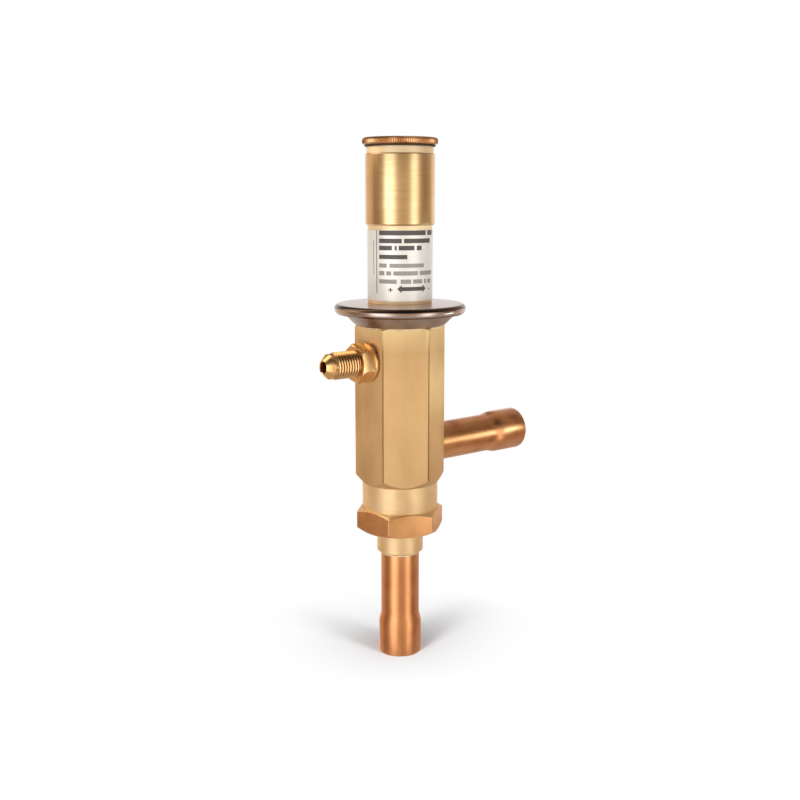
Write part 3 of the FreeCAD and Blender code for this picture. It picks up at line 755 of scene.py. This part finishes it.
def printed_marks():
    """Rules, word-long bars, and an arrow between a plus and a minus, each with its ink."""
    margin = -8.85
    bold = [
        (26.3, 28.2, [(margin, 11.7), (12.8, 17.0)]),
        (23.2, 25.0, [(margin, 0.8), (1.7, 14.8)]),
        (20.4, 22.2, [(margin, -3.1), (-2.0, -1.2), (-0.4, 6.0), (7.1, 9.4)]),
        (16.9, 18.6, [(margin, 3.05)]),
    ]
    thin = [
        (13.5, 15.1, [(margin, -5.3), (-4.1, 10.7)]),
        (10.4, 12.1, [(margin, -6.3), (-5.5, -3.4), (-2.6, 7.6), (8.5, 16.2)]),
        (7.1, 8.8, [(margin, -1.2), (0.4, 4.7), (5.4, 9.8), (10.8, 12.0), (13.0, 15.5)]),
    ]
    black, grey = [], []
    for lines, marks in ((bold, black), (thin, grey)):
        for low, high, words in lines:
            marks.extend(printed_bar(start, end, low, high) for start, end in words)
    black_rule, grey_rule = (-10.3, -9.9, 3.2, 28.3), (-12.15, -11.7, 10.4, 24.1)
    shaft, minus = (0.6, 10.2, 4.2, 5.8), (13.3, 14.8, 4.5, 4.95)
    plus_across, plus_up = (-4.7, -2.8, 4.4, 4.85), (-3.97, -3.52, 3.7, 5.55)
    head_height, head_tall = 5.0, 3.2
    black += [printed_bar(*black_rule), printed_bar(*shaft)]
    for tip, back in ((-1.0, 0.8), (11.8, 10.0)):
        black.append(arrow_head(tip, back, head_height, head_tall))
    black += [printed_bar(*plus_across), printed_bar(*plus_up)]
    grey += [printed_bar(*grey_rule), printed_bar(*minus)]
    return [(mark, 1) for mark in black] + [(mark, 2) for mark in grey]


def make_label():
    """The film is laid out flat, printed, and bent round the housing."""
    length = TURN * film_radius - film_gap
    facing = 231
    put_down()
    bpy.ops.mesh.primitive_grid_add(
        x_subdivisions=170, y_subdivisions=1, size=MM,
        location=(0, 0, film_height / 2 * MM), rotation=(math.radians(90), 0, 0),
    )
    sheet = bpy.context.object
    sheet.scale = (length, film_height, 1)
    settle(sheet)
    apply(sheet, "SOLIDIFY", thickness=film_thick * MM, offset=-1.0)
    sheet.data.transform(Matrix.Translation((0, -film_thick * MM, 0)))
    inks = (film, black_ink, grey_ink)
    for finish in inks:
        sheet.data.materials.append(finish)
    marks = []
    for mark, ink in printed_marks():
        apply(mark, "SOLIDIFY", thickness=ink_thick * MM, offset=-1.0)
        for finish in inks:
            mark.data.materials.append(finish)
        for face in mark.data.polygons:
            face.material_index = ink
        marks.append(mark)
    take_up(sheet, *marks)
    bpy.ops.object.join()
    label = bpy.context.object
    close_up(label)
    apply(label, "SIMPLE_DEFORM", deform_method="BEND", deform_axis="Z",
          angle=length / film_radius)
    label.data.transform(Matrix.Translation((0, -film_radius * MM, film_foot * MM)))
    label.data.transform(Matrix.Rotation(math.radians(facing - 270), 4, "Z"))
    smooth(label)
    return stands_for(label, "label", None)


# Diaphragm case

def make_upper_shell():
    hem_inner = 24.45
    shell = turned("lid", [
        (collar_radius, housing_foot), (13.7, housing_foot), (23.3, clamp_top),
        (rim_inner, clamp_top), (rim_inner, flange_foot), (hem_inner, flange_foot),
        (hem_inner, rim_foot), (rim_radius, rim_foot), (rim_radius, rim_top), (23.4, rim_top),
        (13.85, collar_top), (collar_radius, collar_top), (collar_radius, housing_foot),
    ], 144)
    bend_rings(shell, [(rim_radius, rim_foot), (rim_radius, rim_top)], 2.05, 8)
    bend_rings(shell, [(rim_inner, clamp_top), (rim_inner, flange_foot)], 0.7, 4)
    bend_rings(shell, [(hem_inner, rim_foot)], 0.3, 3)
    smooth(shell, 40)
    return stands_for(shell, "upper_shell", steel_lid)


def make_lower_shell():
    inner_floor, inner_corner, outer_corner, inner_lip = 144.75, 17.96, 18.5, 23.86
    shell = turned("bowl", [
        (crown_radius, case_floor), (outer_corner, case_floor), (24.4, flange_foot),
        (flange_radius, flange_foot), (flange_radius, flange_top), (inner_lip, flange_top),
        (inner_corner, inner_floor), (crown_radius, inner_floor), (crown_radius, case_floor),
    ], 144)
    bend_rings(shell, [(outer_corner, case_floor)], 1.0, 4)
    bend_rings(shell, [(inner_corner, inner_floor)], 0.6, 4)
    bend_rings(shell, [(inner_lip, flange_top)], 0.8, 4)
    smooth(shell, 40)
    return stands_for(shell, "lower_shell", steel_shell)


def make_diaphragm():
    plate, trough, clamp, under_plate, under_trough, thick = 14.0, 18.55, 23.1, 150.1, 149.5, 0.3
    disc = turned("disc", [
        (0, under_plate), (plate, under_plate), (trough, under_trough), (clamp, flange_top),
        (flange_radius, flange_top), (flange_radius, clamp_top), (clamp, clamp_top),
        (trough, under_trough + thick), (plate, under_plate + thick), (0, under_plate + thick),
    ])
    folds = [(radius, height + rise) for rise in (0, thick)
             for radius, height in ((plate, under_plate), (trough, under_trough))]
    bend_rings(disc, folds, 0.8, 3)
    smooth(disc)
    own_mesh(stands_for(disc, "diaphragm", steel_plain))
    return disc


def make_case_braze():
    """Braze that has run out between the bowl and the body's crown, over the flats."""
    pool = turned("pool", [
        (crown_radius, 142.7), (15.4, 142.6), (16.6, 142.55), (17.1, 142.7), (17.5, 142.95),
        (17.8, 143.2), (17.95, case_floor), (crown_radius, case_floor), (crown_radius, 142.7),
    ], 180)
    wavy(pool, 0.3, 1.6)
    bar = six_sided("bar", across_flats, body_foot, body_top)
    combine(pool, bar, "DIFFERENCE")
    smooth(pool, 60)
    return stands_for(pool, "case_braze", braze)


# Valve body

def body_cavity():
    """Everything that is bored out of the body, as one tool."""
    under, past = body_foot - 0.7, flat_face + 0.5
    cavity = stepped("cavity", [
        (14.2, under), (spigot_radius, under + 2), (11.0, 77.5), (5.0, 113.0), (4.0, 125.95),
    ], crown_top + 0.6)
    outlet = stepped("outlet_bore", [(tube_inner, 5), (tube_outer, outlet_stop)], past)
    pilot = stepped("pilot_bore", [(2.5, 0), (pilot_bore, 8.7)], past)
    lay(outlet, 90, 0, outlet_height)
    lay(pilot, -90, 0, pilot_height)
    combine(cavity, outlet, "UNION")
    combine(cavity, pilot, "UNION")
    return cavity


def turned_faces(piece, level, reach):
    """Gives the second finish to what was turned on the bar's lower end."""
    for face in piece.data.polygons:
        if face.center.z < level * MM and face.center.xy.length < reach * MM:
            face.material_index = 1


def darker_edges(piece, reach):
    """Gives the third, darker brass to the rounded upright edges of the hexagon."""
    for face in piece.data.polygons:
        off_flat = math.degrees(math.atan2(face.normal.y, face.normal.x)) % 60
        upright = abs(face.normal.z) < 0.3
        if 4 < off_flat < 56 and upright and face.center.xy.length > reach * MM:
            face.material_index = 2


def make_valve_body():
    turned_radius, corner_radius, cone_foot, cone_top = 16.0, 19.3, 76.65, 80.45
    envelope = turned("envelope", [
        (0, body_foot), (turned_radius, body_foot), (turned_radius, cone_foot),
        (corner_radius, cone_top), (corner_radius, body_top - 1), (corner_radius - 1, body_top),
        (0, body_top),
    ], 128)
    bar = six_sided("bar", across_flats, body_foot - 1, body_top + 1)
    soften(bar, 0.42, 3)
    combine(envelope, bar, "INTERSECT")
    neck = stepped("neck", [(crown_radius, body_top - 5)], crown_top)
    combine(envelope, neck, "UNION")
    combine(envelope, body_cavity(), "DIFFERENCE")
    soften(envelope, 0.12, 2)
    smooth(envelope, 30)
    body = stands_for(envelope, "valve_body", brass_body)
    body.data.materials.append(brass_turned)
    body.data.materials.append(brass_edge)
    turned_faces(body, cone_foot + 0.05, corner_radius - 0.1)
    darker_edges(body, corner_radius - 0.9)
    return body


def make_bottom_connector():
    corner, boss, chamfer = 19.05, 9.85, 0.5
    seat_outer, seat_inner, seat_top = 9.05, 7.85, 78.0
    fall = (corner - flat_face) * math.tan(math.radians(30))
    nut = turned("nut", [
        (0, nut_foot), (flat_face, nut_foot), (corner, nut_foot + fall),
        (corner, body_foot - fall), (flat_face, body_foot), (0, body_foot),
    ], 128)
    bar = six_sided("bar", across_flats, nut_foot - 1, body_foot + 1, 7.0)
    soften(bar, 0.25, 3)
    combine(nut, bar, "INTERSECT")
    core = turned("core", [
        (0, boss_foot), (boss - chamfer, boss_foot), (boss, boss_foot + chamfer),
        (boss, nut_foot + 2), (spigot_radius, nut_foot + 2), (spigot_radius, spigot_top),
        (seat_outer, spigot_top), (seat_outer, seat_top), (seat_inner, seat_top),
        (seat_inner, spigot_top), (0, spigot_top),
    ])
    combine(nut, core, "UNION")
    bore = stepped("bore", [(tube_outer, boss_foot - 0.8), (tube_inner, inlet_stop)], seat_top + 1)
    combine(nut, bore, "DIFFERENCE")
    soften(nut, 0.1, 2)
    smooth(nut, 30)
    connector = stands_for(nut, "bottom_connector", brass_nut)
    connector.data.materials.append(brass_turned)
    for face in connector.data.polygons:
        middle = face.center
        on_boss = middle.z < (nut_foot - 0.1) * MM
        on_chamfer = middle.z > (body_foot - fall - 0.05) * MM and face.normal.z > 0.3
        if on_boss or on_chamfer:
            face.material_index = 1
    return connector


# Pilot fitting

def make_pilot_fitting():
    """Flare fitting, made standing on its collar's back and then laid out to -X."""
    plug_end, collar, collar_front, hexagon, flats = -8.6, 7.9, 1.1, 8.26, 14.3
    root, throat, nose, bore_radius = 4.8, 4.7, 5.1, 2.3
    throat_end, nose_start, nose_end, tip = 7.7, 17.3, 19.3, 21.8
    shank = turned("shank", [
        (0, plug_end), (pilot_bore, plug_end), (pilot_bore, 0), (collar, 0),
        (collar, collar_front), (throat, collar_front), (throat, throat_end), (root, 8.1),
        (root, nose_start), (nose, nose_start), (nose, nose_end), (2.6, tip), (0, tip),
    ], 96)
    bend_rings(shank, [(collar, collar_front)], 0.35, 3)
    crown = turned("crown", [
        (0, collar_front), (hexagon, collar_front), (hexagon, 6.05), (flats / 2, 6.7), (0, 6.7),
    ])
    bar = six_sided("bar", flats, collar_front - 0.1, throat_end, 42.0)
    soften(bar, 0.15, 2)
    combine(crown, bar, "INTERSECT")
    combine(shank, crown, "UNION")
    ridge = thread(5.55, 1.27, 7.0, nose_start, 0.62)
    lead = turned("lead", [
        (0, 6.5), (4.9, 6.5), (5.6, 7.2), (5.6, 16.9), (5.2, nose_start + 0.05),
        (0, nose_start + 0.05),
    ])
    combine(ridge, lead, "INTERSECT")
    combine(shank, ridge, "UNION")
    bore = turned("bore", [
        (0, -9), (bore_radius, -9), (bore_radius, 21.5), (2.6, 21.85), (2.6, 23), (0, 23),
    ])
    combine(shank, bore, "DIFFERENCE")
    soften(shank, 0.07, 2, 38)
    lay(shank, -90, pilot_face, pilot_height)
    smooth(shank, 30)
    return stands_for(shank, "pilot_fitting", brass_fitting)


def make_pilot_gasket():
    outer, thick = 7.0, 0.8
    ring = turned("ring", [
        (pilot_bore, 0), (outer, 0), (outer, thick), (pilot_bore, thick), (pilot_bore, 0),
    ])
    soften(ring, 0.15, 2)
    lay(ring, 90, pilot_face, pilot_height)
    smooth(ring)
    return stands_for(ring, "pilot_gasket", gasket_in_painted_shade)


# Tubes and their braze

def swaged_tube(name, length):
    """Tube from its open socket at height 0, belled out in a soft bend."""
    tube = turned(name, [
        (socket_inner, 0), (socket_outer, 0), (socket_outer, foot_swage), (tube_outer, foot_taper),
        (tube_outer, length), (tube_inner, length), (tube_inner, foot_taper),
        (socket_inner, foot_swage), (socket_inner, 0),
    ])
    bend_rings(tube, [(socket_outer, foot_swage), (socket_inner, foot_swage)], 1.2, 4)
    bend_rings(tube, [(tube_outer, foot_taper), (tube_inner, foot_taper)], 1.2, 4)
    bend_rings(tube, [(socket_outer, 0), (socket_inner, 0)], 0.25, 3)
    smooth(tube, 40)
    return tube


def make_inlet_tube():
    return stands_for(swaged_tube("inlet", inlet_stop), "inlet_tube", copper_up)


def make_outlet_tube():
    tube = lay(swaged_tube("outlet", outlet_end - outlet_stop), -90, outlet_end, outlet_height)
    return stands_for(tube, "outlet_tube", copper_out)


def braze_ring(name, height):
    """Uneven fillet hanging below a face, round a tube."""
    ring = turned(name, [
        (tube_outer, height), (tube_outer, height - 0.9), (8.38, height - 0.55),
        (8.65, height - 0.3), (9.1, height), (tube_outer, height),
    ])
    wavy(ring, 0.14, 1.8)
    smooth(ring, 60)
    return ring


def make_inlet_braze():
    return stands_for(braze_ring("ring", boss_foot), "inlet_braze", braze)


def make_outlet_braze():
    ring = lay(braze_ring("ring", 0), -90, flat_face, outlet_height)
    return stands_for(ring, "outlet_braze", braze)


# Springs

def make_springs():
    # The main spring starts 0.65 mm over its seat, as far as the seat can rise.
    foot, top = 154.05, 193.0
    main = wire_coil("main", 10.2, 3.0, foot, top, 5.5, 18, 40)
    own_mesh(stands_for(main, "main_spring", steel_spring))
    closing = wire_coil("closing", 6.85, 1.3, 101.0, 113.0, 5.0)
    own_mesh(stands_for(closing, "closing_spring", steel_spring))
    pilot = wire_coil("pilot", 1.825, 0.45, 114.7, 118.88, 4.5, 10, 24)
    stands_for(pilot, "pilot_spring", steel_spring)


def finish_inner_pieces():
    """Gives the CAD nodes that stay as they are their metal."""
    finishes = {
        "setting_screw": brass_turned, "upper_spring_seat": steel_plated,
        "lower_spring_seat": steel_plated, "thrust_plate": steel_plain,
        "pressure_pin": steel_plain, "pin_guide": brass_turned, "pilot_orifice": steel_plain,
        "pilot_ball": steel_plain, "ball_carrier": brass_turned, "pilot_plug": brass_turned,
        "servo_piston": brass_turned, "piston_ring": plastic, "valve_plate": plastic,
        "plate_nut": steel_plated, "connector_gasket": gasket_in_painted_shade,
    }
    for node, finish in finishes.items():
        mesh = frame["nodes"][node].data
        mesh.materials.clear()
        mesh.materials.append(finish)


# Studio

def ray_share(tree):
    """1 for what the camera, a reflection or glass sees, 0 for light that falls on things."""
    rays = tree.nodes.new("ShaderNodeLightPath")
    total = rays.outputs["Is Camera Ray"]
    for name in ("Is Glossy Ray", "Is Transmission Ray"):
        add = tree.nodes.new("ShaderNodeMath")
        add.operation = "ADD"
        add.use_clamp = True
        tree.links.new(total, add.inputs[0])
        tree.links.new(rays.outputs[name], add.inputs[1])
        total = add.outputs[0]
    return total


def make_world():
    """White round about to the eye, and a faint even fill as light."""
    fill_strength = 0.14
    world = bpy.data.worlds.new("studio")
    bpy.context.scene.world = world
    world.use_nodes = True
    tree = world.node_tree
    fill = tree.nodes["Background"]
    fill.inputs["Color"].default_value = (1.0, 1.0, 1.0, 1.0)
    fill.inputs["Strength"].default_value = fill_strength
    seen = tree.nodes.new("ShaderNodeBackground")
    seen.inputs["Color"].default_value = (1.0, 1.0, 1.0, 1.0)
    mix = tree.nodes.new("ShaderNodeMixShader")
    tree.links.new(ray_share(tree), mix.inputs[0])
    tree.links.new(fill.outputs[0], mix.inputs[1])
    tree.links.new(seen.outputs[0], mix.inputs[2])
    tree.links.new(mix.outputs[0], tree.nodes["World Output"].inputs["Surface"])


def make_floor():
    """White floor that keeps the shadow near the object and turns plain white further out."""
    all_shadow, no_shadow = 0.012, 0.075
    put_down()
    bpy.ops.mesh.primitive_grid_add(x_subdivisions=8, y_subdivisions=8, size=12)
    floor = bpy.context.object
    floor.name = "floor"
    material = bpy.data.materials.new("white_floor")
    material.use_nodes = True
    tree = material.node_tree
    tree.nodes.remove(tree.nodes["Principled BSDF"])
    matt = tree.nodes.new("ShaderNodeBsdfDiffuse")
    matt.inputs["Color"].default_value = (0.85, 0.87, 0.89, 1.0)
    glow = tree.nodes.new("ShaderNodeEmission")
    place = tree.nodes.new("ShaderNodeTexCoord")
    span = tree.nodes.new("ShaderNodeVectorMath")
    span.operation = "LENGTH"
    tree.links.new(place.outputs["Object"], span.inputs[0])
    far = spread(tree, span.outputs["Value"], 0.0, 1.0, all_shadow, no_shadow)
    seen = tree.nodes.new("ShaderNodeMath")
    seen.operation = "MULTIPLY"
    tree.links.new(ray_share(tree), seen.inputs[0])
    tree.links.new(far, seen.inputs[1])
    mix = tree.nodes.new("ShaderNodeMixShader")
    tree.links.new(seen.outputs[0], mix.inputs[0])
    tree.links.new(matt.outputs[0], mix.inputs[1])
    tree.links.new(glow.outputs[0], mix.inputs[2])
    tree.links.new(mix.outputs[0], tree.nodes["Material Output"].inputs["Surface"])
    floor.data.materials.append(material)
    floor.visible_glossy = False


camera_heading = math.radians(231.5)
object_middle = Vector((0, 0, 0.11))


def side_of(place):
    """Degrees that a place stands round the object from the camera's side."""
    return math.degrees(math.remainder(math.atan2(place.y, place.x) - camera_heading, TURN))


def around(turn, distance, height):
    """A place round the object, turned from the camera's side, in metres."""
    angle = camera_heading + math.radians(turn)
    return Vector((distance * math.cos(angle), distance * math.sin(angle), height))


def plain_glow(name, colour, strength):
    """An even glow for reflections. No lamp light comes from it."""
    material = bpy.data.materials.new(name)
    material.use_nodes = True
    material.cycles.emission_sampling = "NONE"
    tree = material.node_tree
    tree.nodes.remove(tree.nodes["Principled BSDF"])
    glow = tree.nodes.new("ShaderNodeEmission")
    glow.inputs["Color"].default_value = (*colour, 1.0)
    glow.inputs["Strength"].default_value = strength
    tree.links.new(glow.outputs[0], tree.nodes["Material Output"].inputs["Surface"])
    return material, tree, glow


def wall_glow():
    """Warm grey wall with two tall white panels in front, white behind the object."""
    brightest, foot_share = 2.4, 0.96
    material, tree, glow = plain_glow("soft_wall", (1.0, 1.0, 1.0), brightest)
    # Degrees round from the camera's side, then how red, green and blue the wall glows there
    tints = [
        (-180, 1.1, 1.1, 1.1), (-152, 1.1, 1.08, 1.05), (-138, 0.8, 0.65, 0.52),
        (-115, 0.8, 0.6, 0.43), (-103, 0.64, 0.48, 0.34), (-94, 0.31, 0.21, 0.13),
        (-80, 0.36, 0.24, 0.15), (-66, 0.46, 0.33, 0.22), (-56, 0.72, 0.58, 0.44),
        (-49, 1.8, 1.74, 1.66), (-44, 2.3, 2.3, 2.3), (-24, 2.3, 2.28, 2.2),
        (-17, 1.4, 1.3, 1.15), (-8, 0.74, 0.62, 0.5), (4, 0.64, 0.5, 0.36),
        (24, 0.66, 0.53, 0.39), (34, 0.84, 0.76, 0.62), (40, 1.8, 1.76, 1.66),
        (46, 2.2, 2.2, 2.1), (56, 1.9, 1.84, 1.7), (63, 0.9, 0.77, 0.62),
        (72, 0.46, 0.35, 0.25), (88, 0.32, 0.22, 0.14), (112, 0.46, 0.35, 0.27),
        (132, 1.0, 0.86, 0.71), (152, 1.05, 1.02, 1.0), (180, 1.1, 1.1, 1.1),
    ]
    place = tree.nodes.new("ShaderNodeTexCoord")
    ahead = tree.nodes.new("ShaderNodeMapping")
    ahead.inputs["Rotation"].default_value = (0, 0, -camera_heading)
    fan = tree.nodes.new("ShaderNodeTexGradient")
    fan.gradient_type = "RADIAL"
    tree.links.new(place.outputs["Object"], ahead.inputs["Vector"])
    tree.links.new(ahead.outputs["Vector"], fan.inputs["Vector"])
    stops = [(0.5 + turn / 360, (r / brightest, g / brightest, b / brightest, 1.0))
             for turn, r, g, b in tints]
    colour = tones(tree, fan.outputs["Fac"], *stops)
    over = height_mask(tree, "Z", 560, 780)
    dark_top = (0.06, 0.05, 0.04, 1.0)
    tree.links.new(blend_colours(tree, over, colour, dark_top), glow.inputs["Color"])
    up_wall = height_mask(tree, "Z", -400, -150)
    strength = spread(tree, up_wall, foot_share * brightest, brightest, 0.0, 1.0)
    tree.links.new(strength, glow.inputs["Strength"])
    return material


def light_only(piece):
    """Leaves a glowing piece to reflections alone: unseen itself, and no lamp."""
    piece.visible_camera = False
    piece.visible_diffuse = False
    piece.visible_shadow = False


def make_screens():
    """A round room of soft light and dark, whose stretches each glow in their own way."""
    radius, ground, skirting, cornice, ceiling = 1500, -1000, -360, 600, 1450
    room = turned("screens", [
        (0, ground), (radius, ground), (radius, skirting), (radius, cornice), (radius, ceiling),
        (10, ceiling),
    ], 144)
    glows = {
        "ceiling": ((1.0, 0.8, 0.66), 0.08), "ground": ((1.0, 0.92, 0.86), 0.6),
        "side_sky": ((1.0, 0.86, 0.72), 0.38), "rear_sky": ((1.0, 0.9, 0.8), 0.6),
        "left_sky": ((1.0, 0.84, 0.62), 2.3), "low_side": ((1.0, 0.8, 0.66), 0.6),
    }
    room.data.materials.append(wall_glow())
    for name, (colour, strength) in glows.items():
        room.data.materials.append(plain_glow(name, colour, strength)[0])
    order = ["wall", *glows]
    for face in room.data.polygons:
        turn, height = side_of(face.center), face.center.z / MM
        stretch = "wall"
        if height > cornice and turn > 90:
            stretch = "side_sky" if turn < 140 else "rear_sky"
        elif height > cornice and -125 < turn < -80:
            stretch = "left_sky"
        elif height > ceiling - 10:
            stretch = "ceiling"
        elif height < ground + 10:
            stretch = "ground"
        elif height < skirting and turn > 100:
            stretch = "low_side"
        face.material_index = order.index(stretch)
    light_only(room)


def make_tube_card():
    """A pale glowing card in front of the side tube, brighter outwards, for the streak on it."""
    width, tall, strength, inner_share = 0.092, 0.03, 14.0, 0.35
    tilt = [math.radians(angle) for angle in (90, -16, 0)]
    put_down()
    bpy.ops.mesh.primitive_grid_add(
        x_subdivisions=4, y_subdivisions=2, size=1, location=(0.154, -0.12, 0.1025), rotation=tilt,
    )
    card = bpy.context.object
    card.name = "tube_card"
    card.scale = (width, tall, 1)
    settle(card)
    material, tree, glow = plain_glow("tube_card", (0.76, 1.0, 1.0), strength)
    outwards = height_mask(tree, "X", 146, 184)
    rise = spread(tree, outwards, inner_share * strength, strength, 0.0, 1.0)
    tree.links.new(rise, glow.inputs["Strength"])
    card.data.materials.append(material)
    light_only(card)


def softbox(name, turn, distance, height, width, tall, power):
    """A soft lamp turned towards the object's middle."""
    data = bpy.data.lights.new(name, "AREA")
    data.shape = "RECTANGLE"
    data.size, data.size_y = width, tall
    data.energy = power
    lamp = bpy.data.objects.new(name, data)
    bpy.context.scene.collection.objects.link(lamp)
    lamp.location = around(turn, distance, height)
    heading = object_middle - lamp.location
    lamp.rotation_euler = heading.to_track_quat("-Z", "Y").to_euler()
    lamp.visible_camera = False
    lamp.visible_glossy = False


def make_camera():
    """The camera of the photograph, as it was fitted to it."""
    turn, down, distance, height = math.radians(-38.5), 10.72, 0.440, 0.1947
    data = bpy.data.cameras.new("camera")
    data.lens = 47.75
    data.sensor_width = 36.0
    data.clip_start = 0.01
    camera = bpy.data.objects.new("camera", data)
    bpy.context.scene.collection.objects.link(camera)
    camera.location = (math.sin(turn) * distance, -math.cos(turn) * distance, height)
    camera.rotation_euler = (math.radians(90 - down), 0, turn)
    bpy.context.scene.camera = camera


make_cap()
make_cap_seal()
make_housing()
make_label()
make_upper_shell()
make_lower_shell()
make_diaphragm()
make_case_braze()
make_valve_body()
make_bottom_connector()
make_pilot_fitting()
make_pilot_gasket()
make_inlet_tube()
make_outlet_tube()
make_inlet_braze()
make_outlet_braze()
make_springs()
finish_inner_pieces()
put_down()

make_world()
make_floor()
make_screens()
make_tube_card()
softbox("left_box", -32, 1.0, 0.6, 0.3, 0.5, 10)
softbox("right_box", 48, 1.0, 0.6, 0.3, 0.5, 7.5)
softbox("top_box", 0, 0.1, 1.1, 0.4, 0.4, 4.8)
make_camera()
bpy.context.scene.view_settings.view_transform = "Standard"
